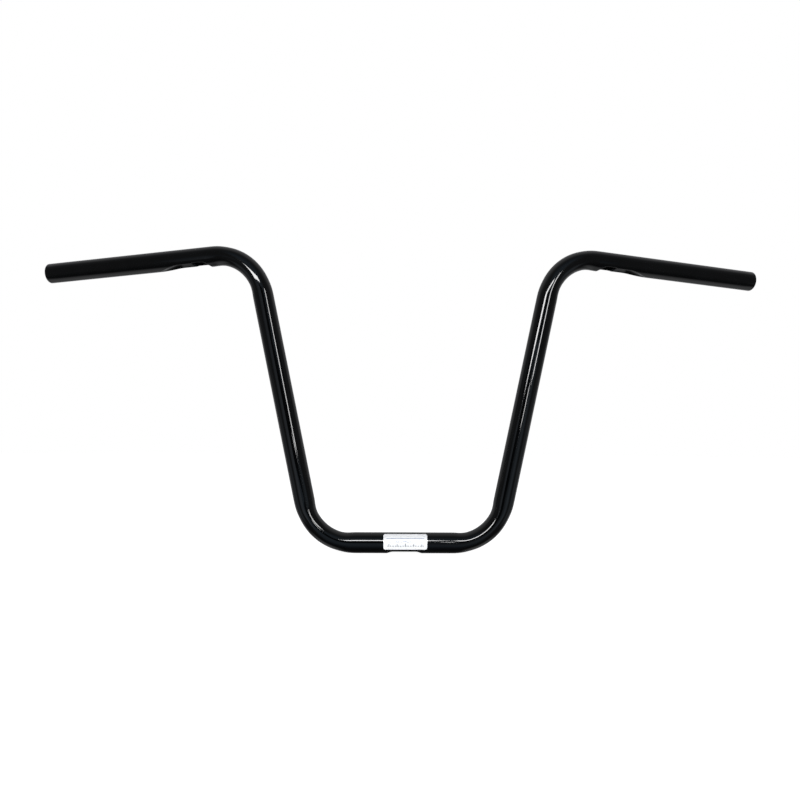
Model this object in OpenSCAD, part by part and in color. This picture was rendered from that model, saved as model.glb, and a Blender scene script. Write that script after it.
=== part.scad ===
// Handlebar: one bent tube with a flat-lying label on its clamp section.
// Origin: on the tube's axis in the middle of the clamp section.
// +X to the rider's right (seen from the front, the picture's right), +Y back towards the rider, +Z up.

/* [Tube] */
// outside diameter of the tube
tube_d = 25.4; // [25:0.1:26]
// wall thickness
wall = 3; // [2.6:0.1:3.2]
// chamfer around each open end
end_chamfer = 1.5; // [0.8:0.1:2]

/* [Clamp section] */
// half the length of the straight section between the lower bends
clamp_half = 64; // [60:0.5:80]

/* [Lower bends] */
// radius of the lower bends, on the tube's axis
low_r = 59; // [55:0.5:75]
// angle the lower bends turn through, degrees
low_a = 78; // [70:0.5:84]
// how much the lower bends are flattened in their own plane, as a share
low_flat = 0.1; // [0.04:0.01:0.12]

/* [Legs] */
// straight length of each leg
leg_len = 265.5; // [200:0.5:300]

/* [Upper bends] */
// radius of the upper bends, on the tube's axis
up_r = 60; // [55:0.5:75]
// how much the upper bends are flattened in their own plane, as a share
up_flat = 0.085; // [0.04:0.005:0.12]
// how much every bend widens across its own plane, as a share
bend_bulge = 0.045; // [0:0.005:0.06]

/* [Grip sections] */
// straight length of each grip section
grip_len = 236.3; // [200:0.1:260]
// sweep of the grip sections back towards the rider, degrees
grip_sweep = 14.7; // [5:0.1:22]
// fall of the grip sections towards their ends, degrees
grip_drop = 3.15; // [0:0.05:8]

/* [Wiring slot under the clamp section] */
// length of the slot, end to end
slot_len = 42; // [30:0.5:50]
// width of the slot
slot_w = 15; // [8:0.5:16]

/* [Wiring holes under the grip sections] */
// width of the hole
hole_w = 18.8; // [12:0.2:19]
// length of the hole, end to end
hole_len = 28; // [24:0.5:34]
// distance from the bend to the hole
hole_from = 7; // [4:0.5:12]
// half the width of the pressed groove beside the hole
groove_half = 9; // [6:0.1:9.4]
// how round the floor of the groove is, as a radius across it
groove_r = 12.2; // [10:0.1:40]
// distance from the bend to where the floor of the groove starts to rise
groove_to = 52; // [48:1:70]
// angle at which the floor of the groove rises to the surface, degrees
groove_rise = 20; // [12:1:30]

/* [Label] */
// length of the label along the tube
label_len = 53.2; // [30:0.1:70]
// height of the label, seen square on
label_h = 19; // [10:0.2:21]
// corner radius of the label
label_corner = 2.5; // [1:0.1:4]
// thickness of the label
label_t = 0.09; // [0.05:0.01:0.09]
// how far the label's middle sits to the right of the bar's middle
label_x = 1.1; // [-10:0.1:10]
// how far the label's middle is turned up from straight ahead, degrees
label_turn = 14.3; // [0:0.1:30]

/* [Hidden] */
$fn = 96;
tr = tube_d / 2;
br = tr - wall;
// each bend's change of section reaches this far into the straights, and is this long
ease_out = 6;
ease_len = 24;
sides = 36;
// the bends' skins lie this much inside the round straights, and run this far into them
skin_in = 0.02;
skin_over = 0.5;
bore_in = 0.02;

function unit(v) = v / norm(v);
// right-hand side of the bar, from the middle outwards
u_leg = [cos(low_a), 0, sin(low_a)];
p_low = [clamp_half, 0, 0];
p_leg = p_low + low_r * [sin(low_a), 0, 1 - cos(low_a)];
p_up = p_leg + leg_len * u_leg;
g = [cos(grip_drop) * cos(grip_sweep), cos(grip_drop) * sin(grip_sweep), -sin(grip_drop)];
n_up = unit(g - (g * u_leg) * u_leg);
up_a = acos(g * u_leg);
p_grip = p_up + up_r * (sin(up_a) * u_leg + (1 - cos(up_a)) * n_up);
// square to the grip section and pointing straight down
down = unit([0, 0, -1] + g[2] * g);

function ease(t) = t <= 0 ? 0 : t >= 1 ? 1 : t * t * (3 - 2 * t);
// length round a bend's axis
function arc(R, A) = R * A * PI / 180;
// share of the full flattening at a distance s along a bend of length L
function share(s, L) = ease((s + ease_out) / ease_len) * ease((L + ease_out - s) / ease_len);
// turn so far, in degrees
function turn(s, R, A) = min(max(s / R * 180 / PI, 0), A);
// a point on the bend's axis: p start, u direction, n towards the bend's centre
function on_axis(s, p, u, n, R, A) = let(L = arc(R, A), a = turn(s, R, A), over = s < 0 ? s : s > L ? s - L : 0)
  p + R * (sin(a) * u + (1 - cos(a)) * n) + over * (cos(a) * u + sin(a) * n);
function ring(s, p, u, n, R, A, flat) = let(
    L = arc(R, A), a = turn(s, R, A), c = on_axis(s, p, u, n, R, A), w = share(s, L),
    in_dir = cos(a) * n - sin(a) * u, side = cross(u, n), r = tr - skin_in)
  [for (k = [0:sides - 1]) let(t = 360 * (k + 0.5) / sides)
    c + r * (1 - flat * w) * cos(t) * in_dir + r * (1 + bend_bulge * w) * sin(t) * side];

// the outer skin of a bend, with its section going from round to flattened and back
module bend_skin(p, u, n, R, A, flat) {
  L = arc(R, A);
  s0 = -ease_out - skin_over;
  s1 = L + ease_out + skin_over;
  steps = 21;
  stations = concat([s0, -ease_out + 0.01], [for (i = [1:steps - 1]) -ease_out + (L + 2 * ease_out) * i / steps], [L + ease_out - 0.01, s1]);
  m = len(stations);
  pts = [for (s = stations) each ring(s, p, u, n, R, A, flat)];
  skin = [for (i = [0:m - 2]) for (k = [0:sides - 1]) let(a = i * sides + k, b = i * sides + (k + 1) % sides)
    each [[a, a + sides, b + sides], [a, b + sides, b]]];
  first = [for (k = [0:sides - 1]) k];
  last = [for (k = [sides - 1:-1:0]) (m - 1) * sides + k];
  polyhedron(points = pts, faces = concat(skin, [first, last]), convexity = 4);
}

// put +Z on a direction at a point, with +X on a second direction square to it
module at(p, z, x) {
  y = cross(z, x);
  multmatrix([[x[0], y[0], z[0], p[0]], [x[1], y[1], z[1], p[1]], [x[2], y[2], z[2], p[2]], [0, 0, 0, 1]]) children();
}

// a bend of round section, exact
module round_bend(p, u, n, R, A, r)
  at(p + R * n, cross(-n, u), -n) rotate_extrude(angle = A) translate([R, 0]) circle(r);

// the same vector on the right (s = 1) or the left (s = -1)
function on(v, s) = [s * v[0], v[1], v[2]];

module outer_half(s) {
  bend_skin(on(p_low, s), [s, 0, 0], [0, 0, 1], low_r, low_a, low_flat);
  at(on(p_leg + ease_out * u_leg, s), on(u_leg, s), [0, 1, 0]) cylinder(r = tr, h = leg_len - 2 * ease_out);
  bend_skin(on(p_up, s), on(u_leg, s), on(n_up, s), up_r, up_a, up_flat);
  at(on(p_grip, s), on(g, s), on(down, s)) {
    translate([0, 0, ease_out]) cylinder(r = tr, h = grip_len - end_chamfer - ease_out);
    translate([0, 0, grip_len - end_chamfer]) cylinder(r1 = tr, r2 = tr - end_chamfer, h = end_chamfer);
  }
}

// room for the groove, in a grip section's own frame: +Z outwards along it, +X straight down
module groove_room(more) {
  d = sqrt(tr * tr - groove_half * groove_half) + sqrt(groove_r * groove_r - groove_half * groove_half);
  r = groove_r + more;
  start = hole_from + hole_w / 2;
  intersection() {
    union() {
      translate([d, 0, start]) cylinder(r = r, h = groove_to + 1 - start);
      // the run-out turns about the middle of the floor, so the floor has no dip there
      translate([d - groove_r, 0, groove_to]) rotate([0, groove_rise, 0]) translate([groove_r, 0, 0.5]) cylinder(r = r, h = 60);
    }
    translate([0, -tr - 2, start]) cube([tr + 4, 2 * tr + 4, 70]);
  }
}

module hole_room() {
  z0 = hole_from + hole_w / 2;
  z1 = hole_from + hole_len - hole_w / 2;
  translate([0, 0, z0]) rotate([0, 90, 0]) cylinder(r = hole_w / 2, h = tr + 5);
  translate([0, 0, z1]) rotate([0, 90, 0]) cylinder(r = hole_w / 2, h = tr + 5);
  translate([0, -hole_w / 2, z0]) cube([tr + 5, hole_w, z1 - z0]);
}

module bore_half(s) {
  // the bends' bores are a hair narrower than the straights'
  round_bend(on(p_low, s), [s, 0, 0], [0, 0, 1], low_r, low_a, br - bore_in);
  at(on(p_leg, s), on(u_leg, s), [0, 1, 0]) cylinder(r = br, h = leg_len);
  round_bend(on(p_up, s), on(u_leg, s), on(n_up, s), up_r, up_a, br - bore_in);
  at(on(p_grip, s), on(g, s), on(down, s)) {
    difference() {
      cylinder(r = br, h = grip_len + 1);
      // the pressed groove's wall stands into the bore
      groove_room(wall);
    }
    hole_room();
    groove_room(0);
    translate([0, 0, grip_len - 0.6]) cylinder(r1 = br, r2 = br + 1, h = 1);
  }
}

module slot_room() {
  c = (slot_len - slot_w) / 2;
  for (x = [-c, c]) translate([x, 0, -tr - 5]) cylinder(r = slot_w / 2, h = tr + 5);
  translate([-c, -slot_w / 2, -tr - 5]) cube([2 * c, slot_w, tr + 5]);
}

module handlebar_tube() color([0.03, 0.03, 0.032]) difference() {
  union() {
    // the round wall's seam is turned clear of the wiring slot
    translate([-clamp_half + ease_out, 0, 0]) rotate([0, 90, 0]) rotate([0, 0, -67.5]) cylinder(r = tr, h = 2 * (clamp_half - ease_out));
    outer_half(1);
    outer_half(-1);
  }
  translate([-clamp_half, 0, 0]) rotate([0, 90, 0]) cylinder(r = br, h = 2 * clamp_half);
  bore_half(1);
  bore_half(-1);
  slot_room();
}

// thin sheet lying on the front of the clamp section
module label() color([0.8, 0.81, 0.82]) intersection() {
  translate([label_x - label_len / 2 - 1, 0, 0]) rotate([0, 90, 0]) difference() {
    cylinder(r = tr + label_t, h = label_len + 2);
    translate([0, 0, -1]) cylinder(r = tr, h = label_len + 4);
  }
  translate([label_x, 0, 0]) rotate([90 - label_turn, 0, 0]) {
    c = label_corner;
    for (x = [-1, 1], y = [-1, 1]) translate([x * (label_len / 2 - c), y * (label_h / 2 - c), 0]) cylinder(r = c, h = tr + 5);
    translate([-label_len / 2 + c, -label_h / 2, 0]) cube([label_len - 2 * c, label_h, tr + 5]);
    translate([-label_len / 2, -label_h / 2 + c, 0]) cube([label_len, label_h - 2 * c, tr + 5]);
  }
}

handlebar_tube();
label();
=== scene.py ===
import math

import bpy
import numpy as np
from mathutils import Matrix, Vector


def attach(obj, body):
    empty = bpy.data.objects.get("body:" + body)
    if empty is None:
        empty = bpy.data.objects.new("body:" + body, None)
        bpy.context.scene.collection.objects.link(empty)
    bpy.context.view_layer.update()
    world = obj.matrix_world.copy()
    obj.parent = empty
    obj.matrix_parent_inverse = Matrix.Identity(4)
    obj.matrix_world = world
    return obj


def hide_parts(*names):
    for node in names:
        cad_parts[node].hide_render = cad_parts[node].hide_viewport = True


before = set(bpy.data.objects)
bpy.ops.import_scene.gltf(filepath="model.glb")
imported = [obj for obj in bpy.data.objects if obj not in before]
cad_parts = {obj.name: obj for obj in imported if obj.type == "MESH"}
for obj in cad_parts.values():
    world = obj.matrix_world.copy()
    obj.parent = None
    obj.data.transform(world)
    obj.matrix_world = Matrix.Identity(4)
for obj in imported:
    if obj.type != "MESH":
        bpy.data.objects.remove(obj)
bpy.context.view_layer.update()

# ---------------------------------------------------------------- the bar's measures, in mm, as in the CAD source
TR = 12.7                      # outside radius
BR = 9.7                       # bore radius
CLAMP = 64.0                   # half the straight clamp section
R1, A1, FLAT1 = 59.0, math.radians(78.0), 0.10
LEG = 265.5
R2, FLAT2 = 60.0, 0.085
BULGE = 0.045
GRIP, SWEEP, DROP = 236.3, math.radians(14.7), math.radians(3.15)
EASE_OUT, EASE = 6.0, 24.0
CH = 1.5
SLOT_L, SLOT_W = 42.0, 15.0
HOLE_W, HOLE_L, HOLE_0 = 18.8, 28.0, 7.0
GV_HALF, GV_R, GV_TO, GV_RISE = 9.0, 12.2, 52.0, math.radians(20.0)
WALL = 3.0
LAB_L, LAB_H, LAB_C, LAB_T, LAB_X, LAB_TURN = 53.2, 19.0, 2.5, 0.09, 1.1, math.radians(14.3)

unit = lambda v: np.asarray(v, float) / np.linalg.norm(v)
U = np.array([math.cos(A1), 0.0, math.sin(A1)])
P_LEG = np.array([CLAMP, 0, 0]) + R1 * np.array([math.sin(A1), 0, 1 - math.cos(A1)])
P_UP = P_LEG + LEG * U
G = np.array([math.cos(DROP) * math.cos(SWEEP), math.cos(DROP) * math.sin(SWEEP), -math.sin(DROP)])
N_UP = unit(G - (G @ U) * U)
A2 = math.acos(G @ U)
P_GRIP = P_UP + R2 * (math.sin(A2) * U + (1 - math.cos(A2)) * N_UP)
DOWN = unit(np.array([0, 0, -1.0]) + G[2] * G)
LAT = np.cross(G, DOWN)
N1E = math.cos(A1) * np.array([0, 0, 1.0]) - math.sin(A1) * np.array([1.0, 0, 0])
SIDE1 = np.cross(U, N1E)
SIDE2 = np.cross(U, N_UP)
N2E = math.cos(A2) * N_UP - math.sin(A2) * U
# turn of each stretch's own cross-section frame against the clamp section's
DEL = math.atan2(N_UP @ SIDE1, N_UP @ N1E)
EPS = math.atan2(DOWN @ SIDE2, DOWN @ N2E)
S1 = CLAMP
S2 = S1 + R1 * A1
S3 = S2 + LEG
S4 = S3 + R2 * A2
S5 = S4 + GRIP


def ease(t):
    t = np.clip(t, 0, 1)
    return t * t * (3 - 2 * t)


def smin(a, b, k):
    h = np.clip(0.5 + 0.5 * (b - a) / k, 0, 1)
    return b * (1 - h) + a * h - k * h * (1 - h)


def groove(s, y, more):
    """Height of the pressed groove's floor above the tube's axis, at a distance s from the bend."""
    d = math.sqrt(TR * TR - GV_HALF ** 2) + math.sqrt(GV_R ** 2 - GV_HALF ** 2)
    q = np.sqrt((GV_R + more) ** 2 - np.minimum(np.abs(y), GV_R - 0.1) ** 2)
    flat = d - q
    ramp = d - GV_R + (GV_R - q) / math.cos(GV_RISE) + (s - GV_TO) * math.tan(GV_RISE)
    g = -smin(-flat, -ramp, 1.6)
    # nothing is pressed in before the hole's own end
    return g + np.clip((HOLE_0 + HOLE_W / 2 + 1.0 - s), 0, None) * 1.2


def tube(s, th, outer=True, r_over=None):
    """Points of the tube's outside or bore, in mm. s runs along the axis from the middle, negative on the left."""
    s, th = np.broadcast_arrays(np.asarray(s, float), np.asarray(th, float))
    sgn = np.where(s < 0, -1.0, 1.0)
    a = np.abs(s)[..., None]
    S = np.abs(s)
    t1 = np.clip((S - S1) / R1, 0, A1)
    t2 = np.clip((S - S3) / R2, 0, A2)
    low = (S <= (S2 + S3) / 2)
    ex, ez = np.array([1.0, 0, 0]), np.array([0, 0, 1.0])
    # axis
    c1, s1_ = np.cos(t1)[..., None], np.sin(t1)[..., None]
    over1 = np.where(S < S1, S - S1, np.where(S > S2, S - S2, 0.0))[..., None]
    n_lo = c1 * ez - s1_ * ex
    t_lo = c1 * ex + s1_ * ez
    c_lo = np.array([CLAMP, 0, 0]) + R1 * (s1_ * ex + (1 - c1) * ez) + over1 * t_lo
    c2, s2_ = np.cos(t2)[..., None], np.sin(t2)[..., None]
    over2 = np.where(S < S3, S - S3, np.where(S > S4, S - S4, 0.0))[..., None]
    n_hi = c2 * N_UP - s2_ * U
    t_hi = c2 * U + s2_ * N_UP
    c_hi = P_UP + R2 * (s2_ * U + (1 - c2) * N_UP) + over2 * t_hi
    L = low[..., None]
    c = np.where(L, c_lo, c_hi)
    n = np.where(L, n_lo, n_hi)
    side = np.where(L, np.cross(ex, ez), SIDE2)
    t = np.where(low, th, th - DEL)
    w1 = ease((S - S1 + EASE_OUT) / EASE) * ease((S2 + EASE_OUT - S) / EASE)
    w2 = ease((S - S3 + EASE_OUT) / EASE) * ease((S4 + EASE_OUT - S) / EASE)
    if outer:
        r = TR if r_over is None else r_over
        ra = r * (1 - FLAT1 * w1 - FLAT2 * w2)
        rb = r * (1 + BULGE * (w1 + w2))
    else:
        r = BR if r_over is None else r_over
        ra = r * (1 - 0.03 * (w1 + w2))
        rb = r * (1 + 0.02 * (w1 + w2))
    p = c + (ra * np.cos(t))[..., None] * n + (rb * np.sin(t))[..., None] * side
    # the grip sections' pressed groove
    g = S > S4 + EASE_OUT
    if g.any() and r_over is None:
        ph = th - DEL - EPS
        y = r * np.sin(ph)
        h = r * np.cos(ph)
        gh = smin(h, groove(S - S4, y, 0.0 if outer else WALL), 2.0)
        h2 = np.where((h > 0) & (S - S4 < 90), np.minimum(h, gh), h)
        q = c_hi + y[..., None] * LAT + h2[..., None] * DOWN
        p = np.where(g[..., None], q, p)
    p = p.copy()
    p[..., 0] *= sgn
    return p


# ---------------------------------------------------------------- the bar's mesh
N = 108                                    # points round the tube
# they stand closer together along the two rims of the pressed grooves
HOLE_C = DEL + EPS
_t = np.linspace(-math.pi, math.pi, 20001)
_w = 1 + 1.5 * np.exp(-((np.abs(_t) - math.radians(45)) / math.radians(8)) ** 2)
_c = np.concatenate([[0], np.cumsum((_w[1:] + _w[:-1]) / 2)])
TH = HOLE_C + np.interp((np.arange(N) + 0.5) / N, _c / _c[-1], _t)


class Mesh:
    def __init__(self):
        self.v, self.f, self.n = [], [], 0

    def add(self, pts):
        pts = np.asarray(pts, float).reshape(-1, 3)
        i = np.arange(self.n, self.n + len(pts))
        self.v.append(pts)
        self.n += len(pts)
        return i

    def strip(self, a, b, closed=True, flip=False):
        """Quads between two rows of points."""
        k = len(a) if closed else len(a) - 1
        for i in range(k):
            j = (i + 1) % len(a)
            q = (a[i], a[j], b[j], b[i])
            self.f.append(q if flip else q[::-1])


def stations(bend_step, leg_step):
    half = [27.0]
    half += list(np.linspace(27, S1 - 8, 6)[1:])
    half += list(np.arange(S1 - 8, S2 + 8, bend_step)[1:])
    half += list(np.linspace(S2 + 8, S3 - 8, int((S3 - S2) / leg_step))[1:])
    half += list(np.arange(S3 - 8, S4 + 1.0 - bend_step * 0.6, bend_step)[1:])
    half += list(S4 + 1.0 + (40.0 - 1.0) * np.arange(WS + 1) / WS)
    half += list(np.linspace(S4 + 40, S4 + 78, 27)[1:])
    half += list(np.linspace(S4 + 78, S5 - CH, int(140 / leg_step))[1:])
    return np.array(half)


WS = 30                                    # rows of a wiring hole's window along the tube
SS = 36                                    # and of the slot's
m = Mesh()
half_o = stations(1.6, 11.0)
half_i = stations(4.0, 22.0)
mid_s = -27 + 54 * np.arange(SS + 1) / SS


def th_of(j):
    return TH[j % N] + 2 * math.pi * (j // N)


def window(centre, half_deg):
    """First and last column inside a span of angles."""
    js = [j for j in range(-N, 2 * N) if abs(th_of(j) - centre) <= math.radians(half_deg)]
    return js[0], js[-1]


SLOT_C = math.pi
slot_win = window(SLOT_C, 72)
hole_win = window(HOLE_C, 84)


def skin(half, outer):
    """The whole tube's grid, with three windows left open; returns the rows at the ends and the windows' borders."""
    s_all = np.concatenate([-half[::-1][:-1], mid_s, half[1:]])
    P = tube(s_all[:, None], TH[None, :], outer)
    idx = m.add(P).reshape(len(s_all), N)
    a0 = len(half) - 1                      # first row of the slot's window
    wins = [(a0, a0 + SS, slot_win)]
    k = int(np.argmin(abs(s_all - (S4 + 1.0))))
    wins.append((k, k + WS, hole_win))
    k = int(np.argmin(abs(s_all + (S4 + 40.0))))
    wins.append((k, k + WS, hole_win))
    skip = set()
    borders = []
    for i0, i1, (j0, j1) in wins:
        for i in range(i0, i1):
            for j in range(j0, j1):
                skip.add((i, j % N))
        ring = [(i, j0) for i in range(i0, i1)] + [(i1, j) for j in range(j0, j1)] \
            + [(i, j1) for i in range(i1, i0, -1)] + [(i0, j) for j in range(j1, j0, -1)]
        borders.append((np.array([idx[i, j % N] for i, j in ring]),
                        np.array([s_all[i] for i, j in ring]), np.array([th_of(j) for i, j in ring])))
    for i in range(len(s_all) - 1):
        for j in range(N):
            if (i, j) in skip:
                continue
            q = (idx[i, j], idx[i + 1, j], idx[i + 1, (j + 1) % N], idx[i, (j + 1) % N])
            m.f.append(q[::-1] if outer else q)
    # interior rows of the windows stay unused and are dropped at the end
    return idx, s_all, borders


idx_o, s_o, bord_o = skin(half_o, True)
idx_i, s_i, bord_i = skin(half_i, False)


def plan(s, th, centre, base, r):
    """Plan coordinates over a window: distance along the tube from the window's own zero, and across it."""
    return s - base, r * np.sin(th - centre)


def edge_points(bs, bth, centre, x_mid, half_len, R, r):
    """For each border point, its partner on the obround edge of the opening, in (along, across)."""
    along = bs - x_mid
    # the border in a flattened plan, so that the partners spread evenly
    across = r * 1.15 * (bth - centre)
    c = np.clip(along, -half_len, half_len)
    d = np.stack([along - c, across], 1)
    d /= np.linalg.norm(d, axis=1)[:, None]
    return c + x_mid, d


def opening(border_o, border_i, centre, x_mid, half_len, R, rim_o, rim_i):
    io, so, to = border_o
    ii, si, ti = border_i
    c, d = edge_points(so, to, centre, x_mid, half_len, R, TR)
    K = len(io)
    # the border's direction along the tube is mirrored on the left, where s runs the other way; c and d already hold that

    def at(rad, outer, hint=None):
        """Point on the skin whose plan position is rad outside the obround's spine."""
        along = c + rad * d[:, 0]
        across = rad * d[:, 1]
        r = TR if outer else BR
        th = centre + np.arcsin(np.clip(across / r, -0.9999, 0.9999))
        return along, th

    def surf(rad, outer):
        a, t = at(rad, outer)
        return tube(a, t, outer)

    rows = []
    a_e, t_e = at(R + rim_o, True)
    M_ = 9
    rows.append(io)
    for k in range(1, M_):
        f = k / M_
        f = 1 - (1 - f) ** 1.5
        a = so + (a_e - so) * f
        t = to + (t_e - to) * f
        rows.append(m.add(tube(a, t, True)))
    A = tube(a_e, t_e, True)
    B = surf(R, True)
    dn = np.array([0, 0, -1.0]) if centre == SLOT_C else DOWN * np.array([1 if x_mid > 0 else -1, 1, 1])
    C = B - rim_o * 1.0 * dn
    rows.append(m.add(A))
    for k in range(1, 6):
        t = k / 6
        rows.append(m.add((1 - t) ** 2 * A + 2 * t * (1 - t) * B + t * t * C))
    rows.append(m.add(C))
    Bi = surf(R, False)
    Ci = Bi + rim_i * dn
    for k in range(1, 3):
        rows.append(m.add(C + (Ci - C) * k / 3))
    rows.append(m.add(Ci))
    a_i, t_i = at(R + rim_i, False)
    Ai = tube(a_i, t_i, False)
    rows.append(m.add(Ai))
    for k in range(1, 4):
        f = k / 4
        rows.append(m.add(tube(a_i + (si - a_i) * f, t_i + (ti - t_i) * f, False)))
    rows.append(ii)
    for a, b in zip(rows[:-1], rows[1:]):
        m.strip(a, b)


# the inner and outer windows have the same rows and columns, so their borders pair off one to one
opening(bord_o[0], bord_i[0], SLOT_C, 0.0, (SLOT_L - SLOT_W) / 2, SLOT_W / 2, 0.8, 0.25)
hc = S4 + HOLE_0 + HOLE_L / 2
opening(bord_o[1], bord_i[1], HOLE_C, hc, (HOLE_L - HOLE_W) / 2, HOLE_W / 2, 1.4, 0.12)
opening(bord_o[2], bord_i[2], HOLE_C, -hc, (HOLE_L - HOLE_W) / 2, HOLE_W / 2, 1.4, 0.12)

# the open ends: a rounded rim outside, a flat face and a small break inside
for side in (1, -1):
    out_row = idx_o[-1] if side > 0 else idx_o[0]
    in_row = idx_i[-1] if side > 0 else idx_i[0]
    rows = [out_row]
    for k in range(1, 7):
        a = math.pi / 2 * k / 6
        rows.append(m.add(tube(side * (S5 - CH + CH * math.sin(a)), TH, True, TR - CH * (1 - math.cos(a)))))
    for r, ds in ((TR - CH - 0.25, 0), (BR + 0.75, 0), (BR + 0.6, 0), (BR + 0.42, 0.02), (BR + 0.2, 0.16), (BR + 0.05, 0.35), (BR, 0.6)):
        rows.append(m.add(tube(side * (S5 - ds), TH, False, r)))
    rows.append(in_row)
    for a, b in zip(rows[:-1], rows[1:]):
        m.strip(a, b, True, side > 0)

verts = np.concatenate(m.v)
faces = np.array(m.f, dtype=np.int64)
used = np.unique(faces)
remap = np.full(len(verts), -1)
remap[used] = np.arange(len(used))
verts, faces = verts[used], remap[faces]


def mesh_object(name, v_mm, f):
    me = bpy.data.meshes.new(name)
    me.from_pydata([tuple(p) for p in np.asarray(v_mm) / 1000], [], [tuple(int(i) for i in q) for q in f])
    me.validate()
    me.update()
    for p in me.polygons:
        p.use_smooth = True
    ob = bpy.data.objects.new(name, me)
    bpy.context.scene.collection.objects.link(ob)
    return ob


bar = mesh_object("bar", verts, faces)

# ---------------------------------------------------------------- the label
NX, NY = 60, 36
turn = LAB_TURN
rows_v = []
yy = LAB_H / 2 * np.sin(np.linspace(-math.pi / 2, math.pi / 2, NY + 1))
lab_v, lab_f, lab_uv = [], [], []
grid_t, grid_b = [], []


def lab_point(x, y, r):
    # y is across the label seen square on; the label faces -Y turned up by LAB_TURN
    a = math.asin(y / TR) + turn
    return (LAB_X + x, -r * math.cos(a), r * math.sin(a))


def lab_row(y):
    e = abs(y) - (LAB_H / 2 - LAB_C)
    return LAB_L / 2 - (LAB_C - math.sqrt(max(LAB_C ** 2 - e * e, 0)) if e > 0 else 0)


count = 0
for layer, r in (("t", TR + LAB_T), ("e", TR + LAB_T - 0.03), ("b", TR + 0.004)):
    shrink = 0.04 if layer == "t" else 0.0
    g_ = []
    for y in yy:
        h = lab_row(y * (1 - 1e-6)) - shrink
        ys = y * (1 - shrink / (LAB_H / 2))
        row = []
        for k in range(NX + 1):
            u = -math.cos(math.pi * k / NX)
            u = 0.75 * (2 * k / NX - 1) + 0.25 * u
            lab_v.append(lab_point(h * u, ys, r))
            row.append(count)
            count += 1
        g_.append(row)
    if layer == "t":
        grid_t = g_
    elif layer == "e":
        grid_e = g_
    else:
        grid_b = g_
for j in range(NY):
    for k in range(NX):
        lab_f.append((grid_t[j][k], grid_t[j][k + 1], grid_t[j + 1][k + 1], grid_t[j + 1][k]))
        lab_f.append((grid_b[j][k], grid_b[j + 1][k], grid_b[j + 1][k + 1], grid_b[j][k + 1]))


def rim_of(g_):
    return g_[0][:] + [g_[j][-1] for j in range(1, NY)] + g_[-1][::-1] + [g_[j][0] for j in range(NY - 1, 0, -1)]


for a, b in ((rim_of(grid_t), rim_of(grid_e)), (rim_of(grid_e), rim_of(grid_b))):
    for i in range(len(a)):
        j = (i + 1) % len(a)
        lab_f.append((a[i], b[i], b[j], a[j]))
lv = np.array(lab_v)
lf = np.array(lab_f)
lu = np.unique(lf)
rm = np.full(len(lv), -1)
rm[lu] = np.arange(len(lu))
label = mesh_object("label_sheet", lv[lu], rm[lf])

# ---------------------------------------------------------------- materials


def material(name):
    mt = bpy.data.materials.new(name)
    mt.use_nodes = True
    nt = mt.node_tree
    nt.nodes.clear()
    out = nt.nodes.new("ShaderNodeOutputMaterial")
    bs = nt.nodes.new("ShaderNodeBsdfPrincipled")
    nt.links.new(bs.outputs["BSDF"], out.inputs["Surface"])
    return mt, nt, bs


def node(nt, kind, **kw):
    n = nt.nodes.new(kind)
    for k, v in kw.items():
        if k.startswith("in_"):
            n.inputs[k[3:].replace("_", " ")].default_value = v
        else:
            setattr(n, k, v)
    return n


def paint():
    mt, nt, bs = material("gloss_black_paint")
    L = nt.links.new
    co = node(nt, "ShaderNodeTexCoord")
    # colour: black with a faint cool cast and very slight unevenness
    big = node(nt, "ShaderNodeTexNoise", in_Scale=38.0, in_Detail=3.0, in_Roughness=0.5)
    L(co.outputs["Object"], big.inputs["Vector"])
    cr = node(nt, "ShaderNodeValToRGB")
    cr.color_ramp.elements[0].position, cr.color_ramp.elements[0].color = 0.3, (0.0006, 0.0007, 0.0008, 1)
    cr.color_ramp.elements[1].position, cr.color_ramp.elements[1].color = 0.7, (0.0011, 0.0012, 0.0014, 1)
    L(big.outputs["Fac"], cr.inputs["Fac"])
    L(cr.outputs["Color"], bs.inputs["Base Color"])
    # gloss: nearly mirror-like, hazier in patches, with fine handling marks
    fine = node(nt, "ShaderNodeTexNoise", in_Scale=900.0, in_Detail=4.0, in_Roughness=0.6)
    L(co.outputs["Object"], fine.inputs["Vector"])
    rr = node(nt, "ShaderNodeMapRange")
    rr.inputs["From Min"].default_value, rr.inputs["From Max"].default_value = 0.3, 0.75
    rr.inputs["To Min"].default_value, rr.inputs["To Max"].default_value = 0.045, 0.085
    L(fine.outputs["Fac"], rr.inputs["Value"])
    L(rr.outputs["Result"], bs.inputs["Roughness"])
    bs.inputs["IOR"].default_value = 1.5
    # orange peel in the paint, a few tenths of a millimetre to 2 mm across
    peel = node(nt, "ShaderNodeTexNoise", in_Scale=620.0, in_Detail=2.0, in_Roughness=0.45)
    L(co.outputs["Object"], peel.inputs["Vector"])
    wave = node(nt, "ShaderNodeTexNoise", in_Scale=150.0, in_Detail=1.0, in_Roughness=0.4)
    L(co.outputs["Object"], wave.inputs["Vector"])
    b1 = node(nt, "ShaderNodeBump")
    b1.inputs["Strength"].default_value = 0.02
    b1.inputs["Distance"].default_value = 0.00004
    L(peel.outputs["Fac"], b1.inputs["Height"])
    b2 = node(nt, "ShaderNodeBump")
    b2.inputs["Strength"].default_value = 0.03
    b2.inputs["Distance"].default_value = 0.00008
    L(wave.outputs["Fac"], b2.inputs["Height"])
    L(b1.outputs["Normal"], b2.inputs["Normal"])
    L(b2.outputs["Normal"], bs.inputs["Normal"])
    return mt


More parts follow.
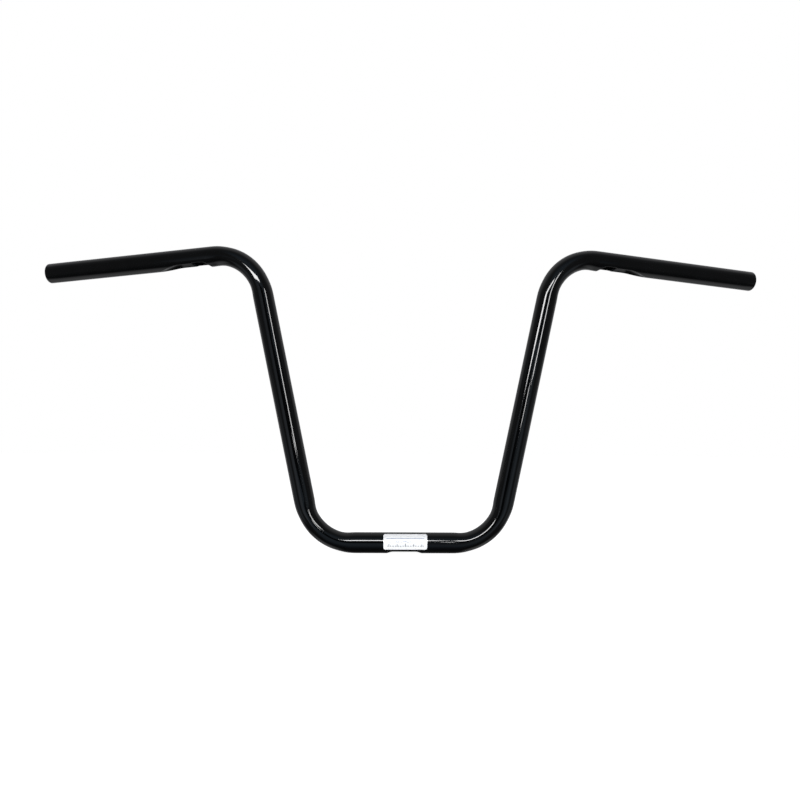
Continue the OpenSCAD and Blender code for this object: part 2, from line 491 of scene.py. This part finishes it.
def foil():
    """Silvery sheet with a plain centring scale along its lower edge."""
    mt, nt, bs = material("silver_label")
    L = nt.links.new

    def calc(kind, a, b=0.0, c=0.0):
        n = nt.nodes.new("ShaderNodeMath")
        n.operation = kind
        for i, v in enumerate((a, b, c)):
            if isinstance(v, (int, float)):
                n.inputs[i].default_value = v
            else:
                L(v, n.inputs[i])
        return n.outputs["Value"]

    def times(*v):
        out = v[0]
        for w in v[1:]:
            out = calc("MULTIPLY", out, w)
        return out

    co = node(nt, "ShaderNodeTexCoord")
    xyz = node(nt, "ShaderNodeSeparateXYZ")
    L(co.outputs["Object"], xyz.inputs["Vector"])
    # place on the sheet in mm: x along the bar, v round it from the sheet's middle
    x = calc("MULTIPLY_ADD", xyz.outputs["X"], 1000.0, -LAB_X)
    v = calc("MULTIPLY", calc("SUBTRACT", calc("ARCTAN2", xyz.outputs["Z"], calc("MULTIPLY", xyz.outputs["Y"], -1.0)), LAB_TURN), TR)
    ax = calc("ABSOLUTE", x)

    def every(step, half):
        return calc("LESS_THAN", calc("ABSOLUTE", calc("SUBTRACT", calc("FRACT", calc("MULTIPLY_ADD", x, 1 / step, 0.5)), 0.5)), half / step)

    def band(lo, hi):
        return times(calc("GREATER_THAN", v, lo), calc("LESS_THAN", v, hi))

    inside = calc("LESS_THAN", ax, 22.2)
    marks = calc("MAXIMUM", times(every(2.0, 0.40), band(-6.9, -4.9), inside), times(every(10.0, 0.55), band(-6.9, -3.6), inside))
    marks = calc("MAXIMUM", marks, times(calc("LESS_THAN", ax, 0.6), band(-6.9, -2.6)))
    # two thin blue-grey bands along the sheet, across its middle and just above it: painted reflections of the dark
    # shade in front of the bar, drawn like printed rules
    painted_reflection_bands = times(calc("MAXIMUM", band(2.9, 3.8), band(-0.5, 0.2)), calc("LESS_THAN", ax, 23.0))
    # the print is a little uneven
    speck = node(nt, "ShaderNodeTexNoise", in_Scale=2600.0, in_Detail=2.0, in_Roughness=0.6)
    L(co.outputs["Object"], speck.inputs["Vector"])
    solid = calc("MULTIPLY_ADD", speck.outputs["Fac"], -0.5, 1.0)
    # silver ground: fine streaks along the sheet, greyer towards its rim; the grey rim is painted shade along the
    # sheet's edge
    stretch = node(nt, "ShaderNodeMapping")
    stretch.inputs["Scale"].default_value = (60.0, 1400.0, 1400.0)
    L(co.outputs["Object"], stretch.inputs["Vector"])
    streak = node(nt, "ShaderNodeTexNoise", in_Scale=1.0, in_Detail=3.0, in_Roughness=0.6)
    L(stretch.outputs["Vector"], streak.inputs["Vector"])
    ground = node(nt, "ShaderNodeValToRGB")
    ground.color_ramp.elements[0].position, ground.color_ramp.elements[0].color = 0.3, (0.88, 0.89, 0.91, 1)
    ground.color_ramp.elements[1].position, ground.color_ramp.elements[1].color = 0.7, (0.95, 0.955, 0.965, 1)
    L(streak.outputs["Fac"], ground.inputs["Fac"])
    near = calc("MAXIMUM", calc("SUBTRACT", ax, LAB_L / 2 - 0.9), calc("SUBTRACT", calc("ABSOLUTE", v), 10.2 - 0.9))
    rim = node(nt, "ShaderNodeMapRange")
    rim.inputs["From Min"].default_value, rim.inputs["From Max"].default_value = 0.0, 0.9
    rim.inputs["To Min"].default_value, rim.inputs["To Max"].default_value = 0.0, 0.35
    L(near, rim.inputs["Value"])

    def over(under, amount, colour):
        mx = node(nt, "ShaderNodeMix", data_type="RGBA")
        L(amount, mx.inputs["Factor"])
        L(under, mx.inputs[6])
        mx.inputs[7].default_value = colour
        return mx.outputs[2]

    # painted shade: the sheet's edge is mixed towards grey
    c = over(ground.outputs["Color"], rim.outputs["Result"], (0.42, 0.43, 0.45, 1))
    c = over(c, calc("MULTIPLY", marks, solid), (0.05, 0.055, 0.065, 1))
    # the painted reflection bands, in blue-grey
    c = over(c, calc("MULTIPLY", painted_reflection_bands, solid), (0.20, 0.26, 0.40, 1))
    L(c, bs.inputs["Base Color"])
    bs.inputs["Metallic"].default_value = 0.22
    rough = node(nt, "ShaderNodeMapRange")
    rough.inputs["From Min"].default_value, rough.inputs["From Max"].default_value = 0.3, 0.7
    rough.inputs["To Min"].default_value, rough.inputs["To Max"].default_value = 0.12, 0.20
    L(streak.outputs["Fac"], rough.inputs["Value"])
    L(rough.outputs["Result"], bs.inputs["Roughness"])
    bs.inputs["Coat Weight"].default_value = 0.5
    bs.inputs["Coat Roughness"].default_value = 0.06
    # the sheet lies a little wavy on the paint
    wave = node(nt, "ShaderNodeTexNoise", in_Scale=130.0, in_Detail=1.0, in_Roughness=0.4)
    L(co.outputs["Object"], wave.inputs["Vector"])
    b1 = node(nt, "ShaderNodeBump")
    b1.inputs["Strength"].default_value = 0.25
    b1.inputs["Distance"].default_value = 0.00006
    L(wave.outputs["Fac"], b1.inputs["Height"])
    b2 = node(nt, "ShaderNodeBump")
    b2.inputs["Strength"].default_value = 0.10
    b2.inputs["Distance"].default_value = 0.00001
    L(streak.outputs["Fac"], b2.inputs["Height"])
    L(b1.outputs["Normal"], b2.inputs["Normal"])
    L(b2.outputs["Normal"], bs.inputs["Normal"])
    return mt


bar_mat = paint()
bar.data.materials.append(bar_mat)
lab_mat = foil()
label.data.materials.append(lab_mat)

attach(bar, "root")
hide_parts("handlebar_tube")
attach(label, "root")
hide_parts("label")

# ---------------------------------------------------------------- stage, camera, lights


def plane(name, corners, mat):
    me = bpy.data.meshes.new(name)
    me.from_pydata([tuple(c) for c in corners], [], [(0, 1, 2, 3)])
    ob = bpy.data.objects.new(name, me)
    bpy.context.scene.collection.objects.link(ob)
    me.materials.append(mat)
    return ob


def white(name, value, emit=0.0):
    mt, nt, bs = material(name)
    bs.inputs["Base Color"].default_value = (value, value, value, 1)
    bs.inputs["Roughness"].default_value = 0.9
    bs.inputs["Specular IOR Level"].default_value = 0.0
    if emit:
        bs.inputs["Emission Color"].default_value = (1, 1, 1, 1)
        bs.inputs["Emission Strength"].default_value = emit
    return mt


floor_z = -0.0127 - 0.0003
floor = plane("floor", [(-6, -6, floor_z), (6, -6, floor_z), (6, 6, floor_z), (-6, 6, floor_z)], white("floor_white", 0.5, 0.9))
floor.visible_glossy = False

# the backdrop is seen by the camera alone, so it neither lights the bar nor shows in its gloss
DOME_R, ROWS, COLS = 6.0, 24, 48
dome_v = [(DOME_R * math.cos(e) * math.cos(a_), DOME_R * math.cos(e) * math.sin(a_), DOME_R * math.sin(e))
          for e in np.linspace(-math.pi / 2 + 0.02, math.pi / 2 - 0.02, ROWS + 1) for a_ in 2 * math.pi * np.arange(COLS) / COLS]
dome_f = [(i * COLS + j, i * COLS + (j + 1) % COLS, (i + 1) * COLS + (j + 1) % COLS, (i + 1) * COLS + j)
          for i in range(ROWS) for j in range(COLS)]
me = bpy.data.meshes.new("backdrop")
me.from_pydata(dome_v, [], dome_f)
dome = bpy.data.objects.new("backdrop", me)
bpy.context.scene.collection.objects.link(dome)
me.materials.append(white("backdrop_white", 0.0, 1.0))
for kind in ("diffuse", "glossy", "transmission", "volume_scatter", "shadow"):
    setattr(dome, "visible_" + kind, False)

cam_data = bpy.data.cameras.new("camera")
cam = bpy.data.objects.new("camera", cam_data)
bpy.context.scene.collection.objects.link(cam)
cam_data.sensor_width = 36.0
cam_data.sensor_fit = "HORIZONTAL"
cam_data.lens = 842.82 / 800 * 36.0
cam_data.clip_start, cam_data.clip_end = 0.01, 50
right = Vector((0.999647, -0.02577936, 0.00642717))
fwd = Vector((0.02547126, 0.9987012, 0.04412628))
up = Vector((-0.00755637, -0.04394699, 0.99900529))
rot = Matrix((right, up, -fwd)).transposed()
cam.matrix_world = Matrix.Translation(Vector((-0.03271655, -1.03949797, 0.12916122))) @ rot.to_4x4()
bpy.context.scene.camera = cam

world = bpy.data.worlds.new("studio")
bpy.context.scene.world = world
world.use_nodes = True
wt = world.node_tree
wt.nodes.clear()
w_out = wt.nodes.new("ShaderNodeOutputWorld")
w_bg = wt.nodes.new("ShaderNodeBackground")
wt.links.new(w_bg.outputs["Background"], w_out.inputs["Surface"])
w_co = wt.nodes.new("ShaderNodeTexCoord")
w_xyz = wt.nodes.new("ShaderNodeSeparateXYZ")
wt.links.new(w_co.outputs["Generated"], w_xyz.inputs["Vector"])


def ramp(src, lo, hi, a, b):
    """A soft step from a to b as the socket goes from lo to hi."""
    n = wt.nodes.new("ShaderNodeMapRange")
    n.interpolation_type = "SMOOTHSTEP"
    for k, v in (("From Min", lo), ("From Max", hi), ("To Min", a), ("To Max", b)):
        n.inputs[k].default_value = v
    wt.links.new(src, n.inputs["Value"])
    return n.outputs["Result"]


def op(kind, a, b):
    n = wt.nodes.new("ShaderNodeMath")
    n.operation = kind
    for i, v in enumerate((a, b)):
        if isinstance(v, (int, float)):
            n.inputs[i].default_value = v
        else:
            wt.links.new(v, n.inputs[i])
    return n.outputs["Value"]


# a dim room: a pale wall behind the bar, darker sides, a soft patch in front
X, Y, Z = (w_xyz.outputs[k] for k in "XYZ")
wide = op("ABSOLUTE", X, 0)
middle = ramp(wide, 0.30, 0.55, 1.0, 0.0)
back = ramp(op("ADD", Y, op("MULTIPLY", Z, 0.25)), -0.05, 0.55, 0.09, 0.40)
front = op("MULTIPLY", ramp(Y, -0.85, -0.25, 0.17, 0.0), middle)
low = ramp(Z, -0.90, -0.30, 0.30, 1.0)
table = op("MULTIPLY", ramp(wide, 0.15, 0.36, 0.0, 0.42), op("MULTIPLY", ramp(Z, -0.80, -0.62, 1.0, 0.0), ramp(Y, -0.15, 0.22, 0.0, 1.0)))
# the far sides are greyer below the level of the eye
sides = op("MULTIPLY", op("MULTIPLY", ramp(Z, -0.28, -0.02, 0.21, 0.03), ramp(Z, -0.60, -0.45, 0.0, 1.0)),
           op("MULTIPLY", ramp(Y, -0.50, -0.28, 0.0, 1.0), ramp(Y, -0.10, 0.30, 1.0, 0.0)))
level = op("ADD", op("ADD", op("MULTIPLY", op("ADD", back, front), low), table), sides)
wt.links.new(level, w_bg.inputs["Strength"])
tint = wt.nodes.new("ShaderNodeValToRGB")
tint.color_ramp.elements[0].position, tint.color_ramp.elements[0].color = 0.0, (0.99, 1.0, 1.02, 1)
tint.color_ramp.elements[1].position, tint.color_ramp.elements[1].color = 1.0, (0.78, 0.99, 1.22, 1)
wt.links.new(op("MAXIMUM", op("MULTIPLY", middle, ramp(Y, -0.6, -0.1, 1.0, 0.0)), op("MULTIPLY", sides, 2.4)), tint.inputs["Fac"])
wt.links.new(tint.outputs["Color"], w_bg.inputs["Color"])


def card(name, x0, x1, y, z0, z1, values, colour=(1, 1, 1)):
    """A card that shows in the gloss only; values are its brightness at its left, middle, right, bottom and top."""
    ob = plane(name, [(x0, y, z0), (x1, y, z0), (x1, y, z1), (x0, y, z1)], white(name + "_face", 0.0))
    for kind in ("camera", "diffuse", "transmission", "volume_scatter", "shadow"):
        setattr(ob, "visible_" + kind, False)
    if values:
        l_, m_, r_, b_, t_ = values
        nt = ob.data.materials[0].node_tree
        co = nt.nodes.new("ShaderNodeTexCoord")
        sp = nt.nodes.new("ShaderNodeSeparateXYZ")
        nt.links.new(co.outputs["Generated"], sp.inputs["Vector"])
        ramps = []
        for src, stops in (("X", ((0.0, l_), (0.5, m_), (1.0, r_))), ("Z", ((0.0, b_), (1.0, t_)))):
            n = nt.nodes.new("ShaderNodeValToRGB")
            n.color_ramp.interpolation = "EASE"
            while len(n.color_ramp.elements) < len(stops):
                n.color_ramp.elements.new(0.5)
            for e, (p, v) in zip(n.color_ramp.elements, stops):
                e.position, e.color = p, (v, v, v, 1)
            nt.links.new(sp.outputs[src], n.inputs["Fac"])
            ramps.append(n.outputs["Color"])
        mul = nt.nodes.new("ShaderNodeMath")
        mul.operation = "MULTIPLY"
        nt.links.new(ramps[0], mul.inputs[0])
        nt.links.new(ramps[1], mul.inputs[1])
        bs = [n for n in nt.nodes if n.type == "BSDF_PRINCIPLED"][0]
        bs.inputs["Emission Color"].default_value = (*colour, 1)
        nt.links.new(mul.outputs["Value"], bs.inputs["Emission Strength"])
    return ob


# beyond the bar's front: grey room to both sides of the dark shape of a camera and whoever holds it
card("room_left", -1.30, -0.44, -1.06, -0.40, 0.45, (0.12, 0.34, 0.40, 1.5, 0.75), (0.90, 1.0, 1.13))
card("room_right", 0.085, 1.30, -1.06, -0.40, 0.245, (0.16, 0.40, 0.12, 1.2, 0.75), (0.84, 1.0, 1.17))
card("camera_shade", -0.44, 0.085, -1.06, 0.02, 0.41, None)
card("arm_shade", -0.10, 0.163, -0.80, 0.197, 0.30, None)
card("leg_shade_left", -0.225, -0.125, -0.25, 0.287, 0.372, None)
card("leg_shade_right", 0.118, 0.202, -0.25, 0.287, 0.372, None)


def soft_light(name, pos, w, h, radiance, turn=0.0, aim=None, spread=None, shape="ELLIPSE"):
    """A panel facing +Y, or a point, that gives the same radiance whatever its size."""
    li = bpy.data.lights.new(name, "AREA")
    li.shape = shape
    li.size, li.size_y = w, h
    li.energy = radiance * math.pi * w * h * (math.pi / 4 if shape == "ELLIPSE" else 1)
    if spread:
        li.spread = spread
    ob = bpy.data.objects.new(name, li)
    bpy.context.scene.collection.objects.link(ob)
    face = Matrix(((1, 0, 0), (0, 0, -1), (0, 1, 0)))
    if aim:
        face = (Vector(pos) - Vector(aim)).to_track_quat("Z", "Y").to_matrix()
    ob.matrix_world = Matrix.Translation(pos) @ face.to_4x4() @ Matrix.Rotation(turn, 4, "Z")
    ob.visible_camera = False
    return ob


soft_light("light_left", (-0.642, -2.383, 1.192), 1.84, 0.41, 22.0, 0.30, shape="RECTANGLE")
soft_light("light_right", (0.680, -1.385, 0.570), 0.19, 0.68, 17.0, -0.20, shape="RECTANGLE")
soft_light("light_small", (0.200, -1.050, 0.235), 0.15, 0.11, 14.0)
# lights the label and the floor, and doesn't show in the gloss
fill = soft_light("fill", (0.0, -1.7, 1.1), 1.4, 0.8, 1.4, shape="RECTANGLE")
fill.visible_glossy = False

scene = bpy.context.scene
scene.view_settings.view_transform = "Standard"
scene.view_settings.look = "None"
